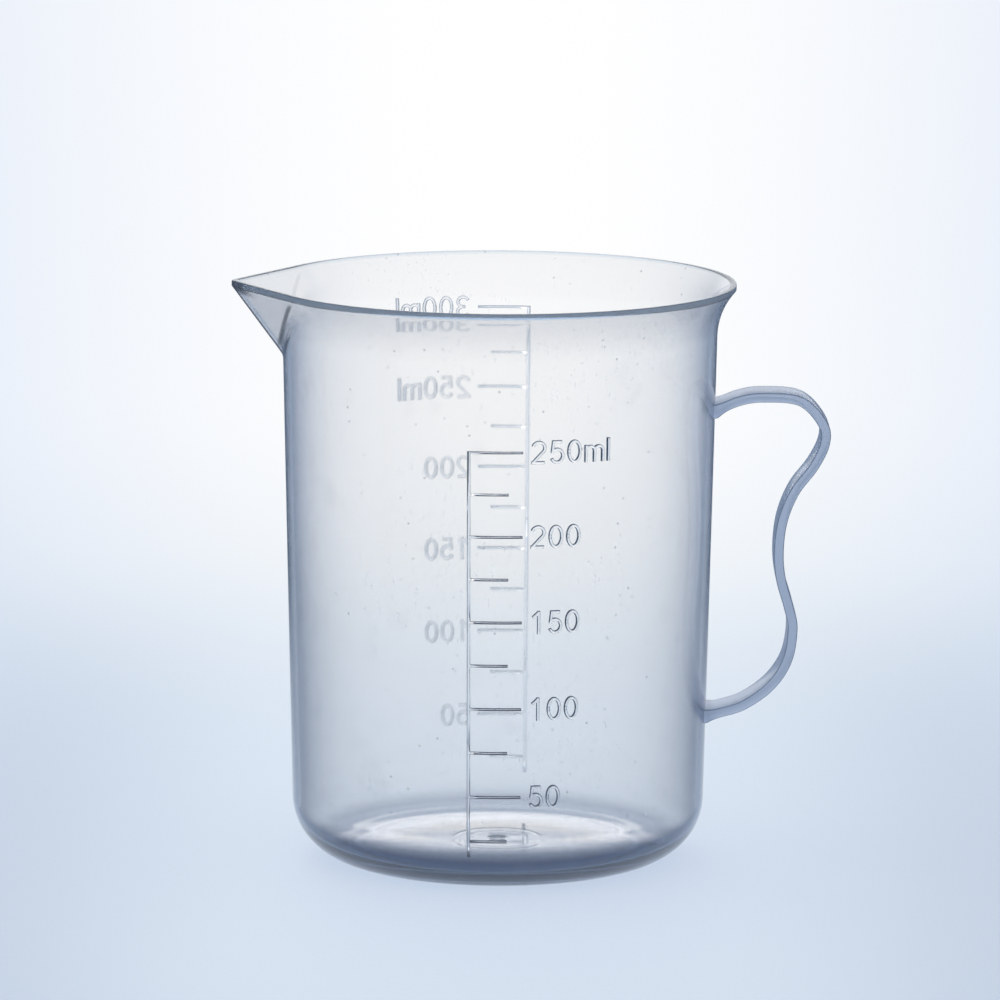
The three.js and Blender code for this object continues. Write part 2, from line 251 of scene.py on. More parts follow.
def vessel_section():
    """Round the cup's wall from the middle of its underside to the middle of its floor.

    Each point is a height and a radius, or the face of the wall that gives its radius with an inset.
    """
    x, height, radius = OUTER_CORNER
    spout_start = SPOUT_FOOT - SPOUT_LEAD
    section = []
    for r in steps(MIDDLE_RADIUS, FOOT_INNER, HOLLOW_STEPS):
        section.append((FOOT_HOLLOW * (1 - (r / FOOT_INNER) ** 2), r))
    section.append((0, (FOOT_INNER + x) / 2))
    for angle in steps(-math.pi / 2, -WALL_DRAFT, ROUND_STEPS):
        section.append((height + radius * math.sin(angle), x + radius * math.cos(angle)))
    wall_foot = section[-1][0]
    flare_foot = FLARE_Z + FLARE_RADIUS * math.sin(WALL_DRAFT)
    up_wall = (spout_start, LOWER_WALL_STEPS), (flare_foot, UPPER_WALL_STEPS)
    for z in graded(wall_foot, up_wall)[1:]:
        section.append((z, (outside, 0)))
    for angle in steps(math.pi - WALL_DRAFT, FLARE_END, ROUND_STEPS)[1:]:
        section.append((FLARE_Z + FLARE_RADIUS * math.sin(angle), (outside, 0)))
    for angle in steps(0, math.pi / 2, LIP_STEPS):
        inset = LIP_EDGE * (1 - math.cos(angle))
        section.append((CUP_HEIGHT - LIP_EDGE * (1 - math.sin(angle)), (outside, inset)))
    for angle in steps(math.pi / 2, 0, LIP_STEPS):
        inset = -LIP_EDGE * (1 - math.cos(angle))
        section.append((CUP_HEIGHT - LIP_EDGE * (1 - math.sin(angle)), (inside, inset)))
    inner_end = math.pi - math.asin((CUP_HEIGHT - LIP_EDGE - FLARE_Z) / (FLARE_RADIUS + WALL))
    for angle in steps(inner_end, math.pi - WALL_DRAFT, ROUND_STEPS)[1:]:
        section.append((FLARE_Z + (FLARE_RADIUS + WALL) * math.sin(angle), (inside, 0)))
    x, height, radius = INNER_CORNER
    inner_foot = height - radius * math.sin(WALL_DRAFT)
    down_wall = (spout_start, UPPER_WALL_STEPS), (inner_foot, LOWER_WALL_STEPS)
    for z in graded(section[-1][0], down_wall)[1:]:
        section.append((z, (inside, 0)))
    for angle in steps(-WALL_DRAFT, -math.pi / 2, ROUND_STEPS)[1:]:
        section.append((height + radius * math.sin(angle), x + radius * math.cos(angle)))
    section.extend((floor_height(r), r) for r in graded(x, FLOOR_CUTS)[1:])
    return section


def make_vessel():
    """The vessel's skin, each corner marked by whether it lies on the outside of the wall."""
    bm = bmesh.new()
    outer_face = bm.verts.layers.float.new("outer_face")
    turns = vessel_turns()
    rings = []
    on_outside = 1.0
    for z, radius in vessel_section():
        on_wall_face = isinstance(radius, tuple)
        if on_wall_face and radius[0] is inside:
            on_outside = 0.0
        ring = []
        for turn in turns:
            r = radius[0](turn, z) - radius[1] if on_wall_face else radius
            corner = bm.verts.new((-r * math.cos(turn), -r * math.sin(turn), z))
            corner[outer_face] = on_outside
            ring.append(corner)
        rings.append(ring)
    skinned(bm, rings)
    for ring in (rings[0], rings[-1]):
        middle = bm.verts.new((0, 0, ring[0].co.z))
        for i, corner in enumerate(ring):
            bm.faces.new((corner, ring[(i + 1) % len(ring)], middle))
    return finished(bm, "clear_vessel")


# Handle
def smooth_line(points, per_span):
    """A line through points, rounded by their neighbours."""
    line = []
    ends = [2 * points[0] - points[1], *points, 2 * points[-1] - points[-2]]
    for a, b, c, d in zip(ends, ends[1:], ends[2:], ends[3:]):
        for t in steps(0, 1, per_span)[:-1]:
            line.append(
                0.5 * (2 * b + (c - a) * t + (2 * a - 5 * b + 4 * c - d) * t ** 2
                       + (3 * b - 3 * c + d - a) * t ** 3)
            )
    return line + [points[-1]]


def strap_section(half_thickness, half_width):
    """A flat strap's outline with rounded edges, as pairs of depth and width."""
    corners = []
    for quarter, (sx, sy) in enumerate(((1, 1), (-1, 1), (-1, -1), (1, -1))):
        for angle in steps(0, math.pi / 2, STRAP_EDGE_STEPS):
            a = angle + quarter * math.pi / 2
            corners.append((
                sx * (half_thickness - STRAP_EDGE) + STRAP_EDGE * math.cos(a),
                sy * (half_width - STRAP_EDGE) + STRAP_EDGE * math.sin(a),
            ))
    return corners


def make_handle():
    points = [
        Vector((outer_radius(CUP_HEIGHT - down) + out, CUP_HEIGHT - down)) for out, down in HANDLE_LINE
    ]
    line = smooth_line(points, HANDLE_STEPS)
    bm = bmesh.new()
    rings = []
    for i, point in enumerate(line):
        along = (line[min(i + 1, len(line) - 1)] - line[max(i - 1, 0)]).normalized()
        out = point.x - outer_radius(point.y)
        near = min(max(1 - out / ROOT_REACH, 0), 1)
        half = STRAP_THICKNESS / 2 + ROOT_FLARE * near ** 2
        ring = []
        for depth, width in strap_section(half, STRAP_WIDTH / 2 + ROOT_SPREAD * near ** 2):
            x = point.x - along.y * depth
            z = point.y + along.x * depth
            if i in (0, len(line) - 1):
                x = math.sqrt((outer_radius(z) - ROOT_SUNK) ** 2 - width ** 2)
            ring.append(bm.verts.new((x, width, z)))
        rings.append(ring)
    skinned(bm, rings)
    bm.faces.new(rings[0])
    bm.faces.new(rings[-1])
    return finished(bm, "strap_handle")


# Raised marks
def on_wall(x, z, proud, back):
    """A point of a flat drawing laid round the cup's front or back."""
    turn = x / wall_radius(CUP_HEIGHT / 2)
    radius = (outer_radius(z) + proud) * (-1 if back else 1)
    return radius * math.sin(turn), -radius * math.cos(turn), z


def flat_place(corner, node):
    """Where a corner of a node's mark lies in the flat drawing."""
    x, y, z = corner.co / MM
    turn = math.atan2(-x, y) if node.startswith("back") else math.atan2(x, -y)
    return turn * wall_radius(CUP_HEIGHT / 2), z


def flat_box(node):
    """The corners of a node's mark in the flat drawing."""
    flat = [flat_place(corner, node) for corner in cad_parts[node].data.vertices]
    return [min(p[i] for p in flat) for i in (0, 1)], [max(p[i] for p in flat) for i in (0, 1)]


def broad_ticks(piece, node):
    """The rule with shading that follows its ticks' broad faces, so that they look even to their ends."""
    mesh = piece.data
    broad = [Vector() for _ in mesh.vertices]
    for face in mesh.polygons:
        for i in face.vertices:
            broad[i] += face.normal * face.area
    upright = flat_box(node)[0][0] + UPRIGHT_WIDTH
    normals = [
        broad[corner.index].normalized() if flat_place(corner, node)[0] > upright else corner.normal.copy()
        for corner in mesh.vertices
    ]
    mesh.normals_split_custom_set_from_vertices(normals)
    return piece


def make_rule(node):
    """A scale's line and ticks, their backs sunk into the wall and their shoulders rounded."""
    bm = bmesh.new()
    bm.from_mesh(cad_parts[node].data)
    bmesh.ops.scale(bm, vec=(1 / MM,) * 3, verts=bm.verts)
    bmesh.ops.remove_doubles(bm, verts=bm.verts, dist=WELD)
    top = set()
    for corner in bm.verts:
        radius = math.hypot(corner.co.x, corner.co.y)
        proud = radius - outer_radius(corner.co.z)
        if proud > MARK_TOP / 2:
            top.add(corner)
        else:
            inward = 1 - (proud + MARK_SUNK) / radius
            corner.co.x *= inward
            corner.co.y *= inward
    bmesh.ops.dissolve_limit(bm, angle_limit=FLAT_ANGLE, verts=bm.verts, edges=bm.edges)
    top = {corner for corner in top if corner.is_valid}
    shoulders = [
        edge for edge in bm.edges
        if set(edge.verts) <= top and edge.is_manifold and edge.calc_face_angle() > SHOULDER_ANGLE
    ]
    bmesh.ops.bevel(
        bm, geom=shoulders, offset=SHOULDER, offset_type="OFFSET", segments=SHOULDER_STEPS, profile=0.5,
        affect="EDGES", clamp_overlap=True,
    )
    return broad_ticks(finished(bm, "raised_" + node), node)


def straight(*points):
    """A stroke's middle line through points, cut into short lengths."""
    line = [points[0]]
    for a, b in zip(points, points[1:]):
        count = max(1, round(math.dist(a, b) / STROKE_CUT))
        line += [(a[0] + (b[0] - a[0]) * t, a[1] + (b[1] - a[1]) * t) for t in steps(0, 1, count)[1:]]
    return line


def bow(x, y, across, up, start, end):
    """A stroke's middle line along part of an oval, by angles in degrees."""
    count = max(4, round(abs(end - start) / BOW_CUT))
    angles = [math.radians(a) for a in steps(start, end, count)]
    return [(x + across * math.cos(a), y + up * math.sin(a)) for a in angles]


def character_strokes(character, w, h):
    """The middle lines of a character in a box of width w and height h."""
    half = STROKE / 2
    if character == "0":
        return [bow(w / 2, h / 2, w / 2, h / 2, a - 20, a + 200) for a in (0, 180)]
    if character == "1":
        return [
            straight((0.12 * w, 0.74 * h), (0.6 * w, h)),
            straight((0.62 * w, -half), (0.62 * w, h + half)),
        ]
    if character == "2":
        curve = bow(w / 2, 0.72 * h, w / 2, 0.28 * h, 165, -35)
        return [curve + straight(curve[-1], (0, 0))[1:], straight((-half, 0), (w, 0))]
    if character == "3":
        return [
            bow(w / 2, 0.76 * h, 0.46 * w, 0.24 * h, 160, -110),
            bow(w / 2, 0.26 * h, w / 2, 0.26 * h, 110, -160),
        ]
    if character == "5":
        return [
            straight((0.92 * w, h), (0.2 * w, h), (0.1 * w, 0.46 * h)),
            bow(w / 2, 0.32 * h, w / 2, 0.32 * h, 150, -155),
        ]
    if character == "m":
        arches = [bow(x, h - w / 4, w / 4, w / 4, 180, 0) for x in (w / 4, 3 * w / 4)]
        return [straight((0, -half), (0, h + half))] + [
            arch + straight(arch[-1], (arch[-1][0], -half))[1:] for arch in arches
        ]
    return [straight((0, -half), (0, h + half))]


def stroke_outline(line, inset):
    """The outline of a stroke, drawn in from its edge and its ends, anticlockwise."""
    points = [Vector(p) for p in line]
    points[0] = points[0] + inset * (points[1] - points[0]).normalized()
    points[-1] = points[-1] + inset * (points[-2] - points[-1]).normalized()
    headings = [(b - a).normalized() for a, b in zip(points, points[1:])]
    left, right = [], []
    for i, point in enumerate(points):
        before = headings[max(i - 1, 0)]
        middle = (before + headings[min(i, len(headings) - 1)]).normalized()
        reach = Vector((-middle.y, middle.x)) * (STROKE / 2 - inset) / max(middle.dot(before), 0.5)
        left.append(point + reach)
        right.append(point - reach)
    return right + left[::-1]


def make_character(node, character):
    """A raised character: the strokes laid over each other as one rounded ridge on the wall."""
    size = [length - STROKE for length in LETTERS.get(character, DIGIT)]
    strokes = character_strokes(character, *size)
    levels = []
    for inset in SHOULDER_INSETS:
        height = MARK_TOP - SHOULDER + math.sqrt(SHOULDER ** 2 - (SHOULDER - inset) ** 2)
        levels.append((height, [stroke_outline(line, inset) for line in strokes]))
    low, high = flat_box(node)
    drawn = [point for outline in levels[0][1] for point in outline]
    shift = Vector([
        (low[i] + high[i] - min(p[i] for p in drawn) - max(p[i] for p in drawn)) / 2 for i in (0, 1)
    ])
    corners, loops = [], []
    for _, outlines in levels:
        for outline in outlines:
            loops.append(list(range(len(corners), len(corners) + len(outline))))
            corners.extend(outline)
    flat, _, faces, _, _, owners = delaunay_2d_cdt(corners, [], loops, 1, 1e-5)
    faces = [face for face, owner in zip(faces, owners) if owner]
    bm = bmesh.new()
    back = node.startswith("back")
    front, behind = {}, {}
    for i in {i for face in faces for i in face}:
        height = max(
            (height for height, outlines in levels for outline in outlines if holds(outline, flat[i])),
            default=levels[0][0],
        )
        x, z = flat[i] + shift
        front[i] = bm.verts.new(on_wall(x, z, height, back))
        behind[i] = bm.verts.new(on_wall(x, z, -MARK_SUNK, back))
    sides = []
    for face in faces:
        bm.faces.new([front[i] for i in face])
        bm.faces.new([behind[i] for i in reversed(face)])
        sides.extend(zip(face, face[1:] + face[:1]))
    shared = set(sides)
    for a, b in sides:
        if (b, a) not in shared:
            bm.faces.new((front[b], front[a], behind[a], behind[b]))
    return finished(bm, "raised_" + node)


def holds(outline, point):
    """Whether a point lies in an outline or within a hair of it."""
    within = False
    for a, b in zip(outline, outline[1:] + outline[:1]):
        along = b - a
        t = min(max((point - a).dot(along) / max(along.length_squared, 1e-12), 0), 1)
        if (a + along * t - point).length < HAIR:
            return True
        if (a.y > point.y) != (b.y > point.y):
            if point.x < a.x + (point.y - a.y) * along.x / along.y:
                within = not within
    return within


# Colours of the plastic and its painted shade, the paper and the light
DEPTH_COLOUR = (0.60, 0.65, 0.72, 1)
LIP_PAINTED_SHADE = (0.5, 0.69, 0.9, 1)
PAINTED_LINE_SHADE = (0.06, 0.075, 0.10, 1)
GRIME_TONE = (0.3, 0.32, 0.36, 1)
PASSING_TONE = (0.94, 0.95, 0.97, 1)
CLOUD_TONE = (0.9, 0.93, 0.97, 1)
PAPER = (0.70, 0.765, 0.845, 1)
PAPER_SHADE_BESIDE = (0.55, 0.62, 0.72, 1)
PAPER_FIBRE = (0.62, 0.685, 0.765, 1)
GLOW_FRONT = (0.66, 0.75, 0.84, 1)
GLOW_NEAR = (0.54, 0.67, 0.79, 1)
GLOW_BACK = (1.0, 1.0, 1.0, 1)
SIDE_FRONT = (0.58, 0.68, 0.80, 1)
SIDE_NEAR = (0.32, 0.46, 0.66, 1)
SIDE_BACK = (0.59, 0.71, 0.90, 1)
DARK_REFLECTION_TONE = (0.08, 0.12, 0.19, 1)
ROOM_LOW = (0.50, 0.54, 0.62, 1)
ROOM_HIGH = (0.76, 0.78, 0.8, 1)
BACKDROP = (1.6, 1.62, 1.66, 1)
ROOM_THROUGH = (0.52, 0.63, 0.78, 1)
BACKDROP_THROUGH = (2.45, 2.4, 2.36, 1)
BACKDROP_SHINE = (1.0, 1.02, 1.05, 1)

# Where the finishes change, in metres: heights, distances from the middle and places front to back
FOOT_FADE = (0.012, 0.03)
LOWER_FADE = (0.015, 0.06)
FLARE_FADE = (0.085, 0.09)
TIP_FADE = (0.0935, 0.0945)
LIP_FADE = (LIP_FOOT * MM, (LIP_FOOT + 0.2) * MM)
MARK_FADE = (0.04, 0.075)
UNDERSIDE_FADE = (0.0016, 0.0022)
FLOOR_RIM_FADE = (0.0255, 0.0262)
CREASE_FADE = (0.0002, 0.0011)
BODY_FADE = (0.0, 0.07)
BACK_FADE = (-0.01, 0.01)
PAPER_SIDE_FADE = (0.03, 0.09)
PAPER_END_FADE = (0.06, 0.3)
GLOW_START_FADE = (-0.5, -0.2)
GLOW_BACK_FADE = (-0.33, 0.51)

# The glow's sides spread from a point before the cup: their fade is a share of the distance from there
GLOW_POINT = 0.9
GLOW_SPREAD_FROM = -0.3
GLOW_SIDE_FADE = (0.0, 0.194)

# Fades in radians from the spout's middle
SPOUT_CLEAR_FADE = (0.5, 0.7)
TIP_TURN_FADE = (0.05, 0.16)

# Fades for directions into the room: how far ahead or up they point
BACKDROP_FADE = (0.8, 0.98)
LOW_BACKDROP_FADE = (0.96, 0.984)
ROOM_FADE = (0.0, 0.9)

PLASTIC_IOR = 1.49
SPECK_CELLS = 420.0


# Finishes
class Wire:
    """A value on its way through a node tree: arithmetic on it adds the nodes that work it out."""

    def __init__(self, tree, socket=None):
        self.tree = tree
        self.socket = socket

    def add(self, kind, settings=None, sockets=None, output=0):
        """A new node: its settings are made first, then its sockets are filled or linked."""
        node = self.tree.nodes.new(kind)
        for name, value in (settings or {}).items():
            setattr(node, name, value)
        for key, value in (sockets or {}).items():
            if isinstance(value, Wire):
                self.tree.links.new(value.socket, node.inputs[key])
            else:
                node.inputs[key].default_value = value
        return Wire(self.tree, node.outputs[output] if node.outputs else None)

    def maths(self, operation, first, second):
        return self.add("ShaderNodeMath", {"operation": operation}, {0: first, 1: second})

    def __add__(self, other):
        return self.maths("ADD", self, other)

    def __radd__(self, other):
        return self.maths("ADD", other, self)

    def __sub__(self, other):
        return self.maths("SUBTRACT", self, other)

    def __rsub__(self, other):
        return self.maths("SUBTRACT", other, self)

    def __mul__(self, other):
        return self.maths("MULTIPLY", self, other)

    def __rmul__(self, other):
        return self.maths("MULTIPLY", other, self)

    def __truediv__(self, other):
        return self.maths("DIVIDE", self, other)

    def __pow__(self, other):
        return self.maths("POWER", self, other)

    def at_least(self, other):
        return self.maths("MAXIMUM", self, other)

    def at_most(self, other):
        return self.maths("MINIMUM", self, other)

    def rise(self, low, high):
        """From 0 at one value to 1 at another, eased at both ends."""
        return self.add(
            "ShaderNodeMapRange",
            {"interpolation_type": "SMOOTHSTEP"},
            {"Value": self, "From Min": low, "From Max": high},
        )

    def blend(self, first, second):
        """From one colour to another as this value goes from 0 to 1."""
        return self.add("ShaderNodeMix", {"data_type": "RGBA"}, {0: self, 6: first, 7: second}, output=2)

    def stretched(self, x, y, z):
        return self.add("ShaderNodeVectorMath", {"operation": "MULTIPLY"}, {0: self, 1: (x, y, z)})

    def noise(self, scale, detail=2.0, roughness=0.5):
        return self.add(
            "ShaderNodeTexNoise",
            sockets={"Vector": self, "Scale": scale, "Detail": detail, "Roughness": roughness},
        )

    def ray(self, kind):
        """1 for light of one kind, such as what the camera sees directly."""
        return self.add("ShaderNodeLightPath", output=kind)

    def axes(self):
        """A place's or direction's three parts."""
        return [self.add("ShaderNodeSeparateXYZ", sockets={0: self}, output=axis) for axis in "XYZ"]


def new_finish(name):
    material = bpy.data.materials.new(name)
    material.use_nodes = True
    material.node_tree.nodes.clear()
    return material, Wire(material.node_tree)


def shine_rays(paint):
    """1 for what is mirrored in the plastic's skin."""
    return paint.ray("Is Reflection Ray") * paint.ray("Is Glossy Ray")


def spout_crease(skin):
    """1 along the crease that climbs from the spout's foot to where its side meets the rim."""
    start = SPOUT_FOOT + CREASE_START
    climb = (skin["height"] - start * MM) / ((LIP_FOOT - start) * MM)
    off = skin["turn"] - climb * SPOUT_TOUCH
    away = off.at_least(0 - off) * skin["radius"]
    ends = climb.rise(0.0, 0.2) * (1 - climb.rise(0.85, 0.97))
    return (1 - away.rise(*CREASE_FADE)) * ends


def wall_shade(skin):
    """Painted shade: the wall darkens at its silhouettes and where it turns under, and inside on its floor
    and corner.
    """
    upright = 1 - skin["up"].rise(0.3, 0.8)
    foot = 1 - skin["height"].rise(*FOOT_FADE)
    lower = 1 - skin["height"].rise(*LOWER_FADE)
    flare = skin["height"].rise(*FLARE_FADE) * skin["turn"].rise(*SPOUT_CLEAR_FADE)
    under = (0 - skin["up"]).rise(-0.04, 0.56) * (0.1 + 0.13 * flare + 0.86 * foot)
    beyond_floor = skin["radius"].rise(*FLOOR_RIM_FADE)
    above_underside = skin["height"].rise(*UNDERSIDE_FADE)
    corner = skin["up"].rise(0.6, 0.95) * beyond_floor * above_underside * foot
    floor = skin["up"].rise(0.9, 0.97) * (1 - beyond_floor) * foot
    sides = (1.25 * skin["facing"] ** 3.0 + 0.5 * lower * skin["facing"] ** 2.0) * upright
    return (sides + under + 0.5 * corner + 0.36 * floor).at_most(0.9 + 0.06 * foot)


def strap_shade(skin):
    """Painted shade: the strap darkens a little where it is seen edge on."""
    return 0.4 * skin["facing"] ** 3.0


def rule_shade(skin):
    """Painted shade: the lines' steep shoulders are dark save the front's that look down, and the back's
    less so.
    """
    lit = (0 - skin["up"]).rise(0.2, 0.5) * (1 - skin["back"])
    strength = (1 - 0.55 * skin["back"]) * (1 - 0.45 * skin["along"].rise(0.4, 0.9))
    return skin["slope"].rise(0.03, 0.3) * (1 - lit) * strength


def number_shade(skin):
    """Painted shade: the strokes' shoulders are dark; the back scale's strokes are painted pale grey all
    over.
    """
    return skin["slope"].rise(0.03, 0.3) * (1 - 0.7 * skin["back"]) + 0.15 * skin["back"]


def wall_haze(skin):
    """The wall is nearly clear, its lip a little cloudier."""
    return 0.03 + 0.07 * skin["lip"]


def strap_haze(skin):
    """The strap's cut sides show its whole width and look cloudy, its broad faces are clearer."""
    return 0.3 + 0.2 * skin["sideways"].rise(0.6, 0.95)


def mark_haze(_):
    """The marks are nearly clear all over."""
    return 0.02


def wall_lines(skin):
    """Shade in the spout's creases and on the lip at its tip."""
    tip = (1 - skin["turn"].rise(*TIP_TURN_FADE)) * skin["height"].rise(*TIP_FADE)
    outer = skin["outer"].rise(0.1, 0.5)
    crease_strength = skin["outer_face"] * (0.12 + 0.6 * outer)
    return spout_crease(skin) * crease_strength + 0.7 * tip * outer


def strap_lines(skin):
    """Thin shade lines along the strap's rounded edges."""
    return 0.55 * skin["sideways"].rise(0.15, 0.45) * (1 - skin["sideways"].rise(0.75, 0.97))


def line_strength(skin):
    """Shade lines are softer towards the rim and on the back scale."""
    return (0.95 - 0.48 * skin["height"].rise(*MARK_FADE)) * (1 - 0.75 * skin["back"])


def rule_lines(skin):
    """A shade line along each upper shoulder."""
    return line_strength(skin) * skin["up"].rise(0.1, 0.5)


def number_lines(skin):
    """A shade line round each stroke, strongest along its upper shoulder."""
    outline = 0.5 * skin["slope"].rise(0.1, 0.5) + 0.4 * skin["up"].rise(0.1, 0.5)
    return line_strength(skin) * outline


def clear_plastic(name, body, low_painted_shade, edge, shade, milk, haze, lines, roughness, streaks, depth):
    """Hazy clear plastic with flow haze, scuffs and specks, and painted shade where it is seen edge on and
    wherever its shade and lines put it.
    """
    material, paint = new_finish(name)
    place = paint.add("ShaderNodeTexCoord", output="Object")
    x, y, height = place.axes()

    flow = place.noise(22, detail=3.0, roughness=0.6)
    draw_lines = place.stretched(1, 1, 0.04).noise(1600, detail=2.0)
    grain = place.noise(1400, detail=2.0)
    scuff_patches = place.noise(38, detail=2.0).rise(0.5, 0.65)
    scuff_lines = place.stretched(1, 1, 0.3).noise(1500, detail=4.0, roughness=0.7).rise(0.62, 0.72)
    scuffs = scuff_patches * scuff_lines * (0.3 + 0.7 * streaks)

    cells = {"Vector": place, "Scale": SPECK_CELLS}
    speck_reach = paint.add("ShaderNodeTexVoronoi", {"feature": "F1"}, cells, output="Distance")
    speck_lot = paint.add("ShaderNodeTexVoronoi", {"feature": "F1"}, cells, output="Color")
    clusters = 0.3 * place.noise(45, detail=3.0).rise(0.5, 0.62)
    speck_draw = paint.add("ShaderNodeSeparateColor", sockets={0: speck_lot}) + clusters
    specks = (1 - speck_reach.rise(0.05, 0.12)) * speck_draw.rise(0.86, 0.88)
    smudges = place.noise(60, detail=5.0, roughness=0.65).rise(0.57, 0.75) * streaks

    across = place.stretched(1, 1, 0)
    outward = paint.add("ShaderNodeVectorMath", {"operation": "NORMALIZE"}, {0: across})
    normal = paint.add("ShaderNodeNewGeometry", output="Normal")
    normal_x, normal_y, normal_z = normal.axes()
    turned = {"operation": "DOT_PRODUCT"}
    square_on = paint.add("ShaderNodeVectorMath", turned, {0: outward, 1: normal}, output="Value")
    skin = {
        "turn": paint.maths("ARCTAN2", y.at_least(0 - y), 0 - x),
        "height": height,
        "radius": paint.add("ShaderNodeVectorMath", {"operation": "LENGTH"}, {0: across}, output="Value"),
        "back": y.rise(*BACK_FADE),
        "lip": height.rise(*LIP_FADE) * square_on.rise(0.3, 0.8),
        "up": normal_z,
        "along": normal_x.at_least(0 - normal_x),
        "sideways": normal_y.at_least(0 - normal_y),
        "facing": paint.add("ShaderNodeLayerWeight", sockets={"Blend": 0.5}, output="Facing"),
        "outer": square_on,
        "outer_face": paint.add("ShaderNodeAttribute", {"attribute_name": "outer_face"}, output="Fac"),
        "slope": 1 - square_on.at_least(0 - square_on),
    }
    # Painted shade: the colour darkens towards the bottom, from the body colour to the low one
    clear = height.rise(*BODY_FADE).blend(low_painted_shade, body)
    # Painted shade: the lip, where it is seen from outside, is darker and bluer
    clear = skin["lip"].blend(clear, LIP_PAINTED_SHADE)
    # Painted shade: the colour goes towards the edge colour wherever the shade function puts shade
    painted_shade_colour = shade(skin).blend(clear, edge)
    grime = specks * 0.8 + scuffs * 0.3 + smudges * 0.12
    colour = grime.blend(painted_shade_colour, GRIME_TONE)

    rough = roughness + 0.02 * flow + 0.12 * scuffs + 0.02 * streaks * draw_lines
    relief = 0.5 * streaks * draw_lines + 0.3 * streaks * grain + 0.8 * scuffs
    bump = paint.add("ShaderNodeBump", sockets={"Strength": 0.1, "Distance": 0.00001, "Height": relief})
    glassy = paint.add(
        "ShaderNodeBsdfPrincipled",
        sockets={
            "Base Color": colour,
            "Roughness": rough,
            "IOR": PLASTIC_IOR,
            "Transmission Weight": 1.0,
            "Normal": bump,
        },
    )
    milky = paint.add("ShaderNodeBsdfTranslucent", sockets={"Color": milk})
    amount = (1 + 0.5 * flow) * haze(skin) + 0.3 * scuffs
    plastic = paint.add("ShaderNodeMixShader", sockets={0: amount, 1: glassy, 2: milky})
    # Painted shade lines: a dark matte finish mixed in wherever the lines function puts a line
    line_tone = {"Base Color": PAINTED_LINE_SHADE, "Roughness": 0.6, "Specular IOR Level": 0.0}
    line = paint.add("ShaderNodeBsdfPrincipled", sockets=line_tone)
    plastic = paint.add("ShaderNodeMixShader", sockets={0: lines(skin), 1: plastic, 2: line})

    # Light on its way to what stands behind the plastic goes straight through
    passing = paint.add("ShaderNodeBsdfTransparent", sockets={"Color": PASSING_TONE})
    for ray in ("Is Shadow Ray", "Is Diffuse Ray"):
        plastic = paint.add("ShaderNodeMixShader", sockets={0: paint.ray(ray), 1: plastic, 2: passing})
    inner = paint.add("ShaderNodeVolumeAbsorption", sockets={"Color": DEPTH_COLOUR, "Density": depth})
    paint.add("ShaderNodeOutputMaterial", sockets={"Surface": plastic, "Volume": inner})
    return material


def floor_finish():
    """Pale paper round the cup, with painted shade at its sides, which runs back into a painted glow,
    white far behind and greyer and cooler in front and to its sides.
    """
    material, paint = new_finish("pale_floor")
    place = paint.add("ShaderNodeTexCoord", output="Object")
    away = paint.add("ShaderNodeVectorMath", {"operation": "LENGTH"}, {0: place}, output="Value")
    x, y, _ = place.axes()
    fibre = place.noise(900, detail=3.0)
    beside = x.at_least(0 - x)
    # Painted shade: the paper darkens to each side of the cup
    paper = beside.rise(*PAPER_SIDE_FADE).blend(PAPER, PAPER_SHADE_BESIDE)
    paper = (0.3 * fibre).blend(paper, PAPER_FIBRE)
    paper_face = paint.add("ShaderNodeBsdfPrincipled", sockets={"Base Color": paper, "Roughness": 0.7})

    # Painted light: the glow is white far behind, greyer in front, and darker and cooler to the sides
    back = y.rise(*GLOW_BACK_FADE)
    front = y.rise(*GLOW_START_FADE)
    middle = front.blend(GLOW_FRONT, GLOW_NEAR)
    sides = front.blend(SIDE_FRONT, SIDE_NEAR)
    middle = back.blend(middle, GLOW_BACK)
    sides = back.blend(sides, SIDE_BACK)
    wide = y.at_least(GLOW_SPREAD_FROM) + GLOW_POINT
    glow_tone = (beside / wide).rise(*GLOW_SIDE_FADE).blend(middle, sides)
    glow = paint.add("ShaderNodeEmission", sockets={"Color": glow_tone, "Strength": 1.0})
    seen = paint.ray("Is Camera Ray") + paint.ray("Is Transmission Ray")
    far = away.rise(*PAPER_END_FADE)
    face = paint.add("ShaderNodeMixShader", sockets={0: far * seen, 1: paper_face, 2: glow})

    # Painted reflection: far off, the floor shows the plastic's shine a dark tone, as dark cards beside
    # the set would
    dark_reflection = paint.add("ShaderNodeEmission", sockets={"Color": DARK_REFLECTION_TONE, "Strength": 1.0})
    face = paint.add("ShaderNodeMixShader", sockets={0: far * shine_rays(paint), 1: face, 2: dark_reflection})
    paint.add("ShaderNodeOutputMaterial", sockets={"Surface": face})
    return material


# Pieces
wall_finish = clear_plastic(
    "hazy_clear_wall",
    body=(1.0, 0.994, 0.984, 1),
    low_painted_shade=(0.956, 0.952, 0.942, 1),
    edge=(0.012, 0.05, 0.14, 1),
    shade=wall_shade,
    milk=CLOUD_TONE,
    haze=wall_haze,
    lines=wall_lines,
    roughness=0.028,
    streaks=1.0,
    depth=15.0,
)
strap_finish = clear_plastic(
    "hazy_clear_strap",
    body=(0.98, 0.99, 1.0, 1),
    low_painted_shade=(0.96, 0.97, 0.99, 1),
    edge=(0.5, 0.6, 0.75, 1),
    shade=strap_shade,
    milk=(0.57, 0.62, 0.71, 1),
    haze=strap_haze,
    lines=strap_lines,
    roughness=0.16,
    streaks=0.0,
    depth=200.0,
)


def mark_plastic(name, shade, lines):
    return clear_plastic(
        name,
        body=(0.99, 0.99, 1.0, 1),
        low_painted_shade=(0.93, 0.95, 0.97, 1),
        edge=(0.0, 0.01, 0.04, 1),
        shade=shade,
        milk=CLOUD_TONE,
        haze=mark_haze,
        lines=lines,
        roughness=0.03,
        streaks=0.0,
        depth=15.0,
    )


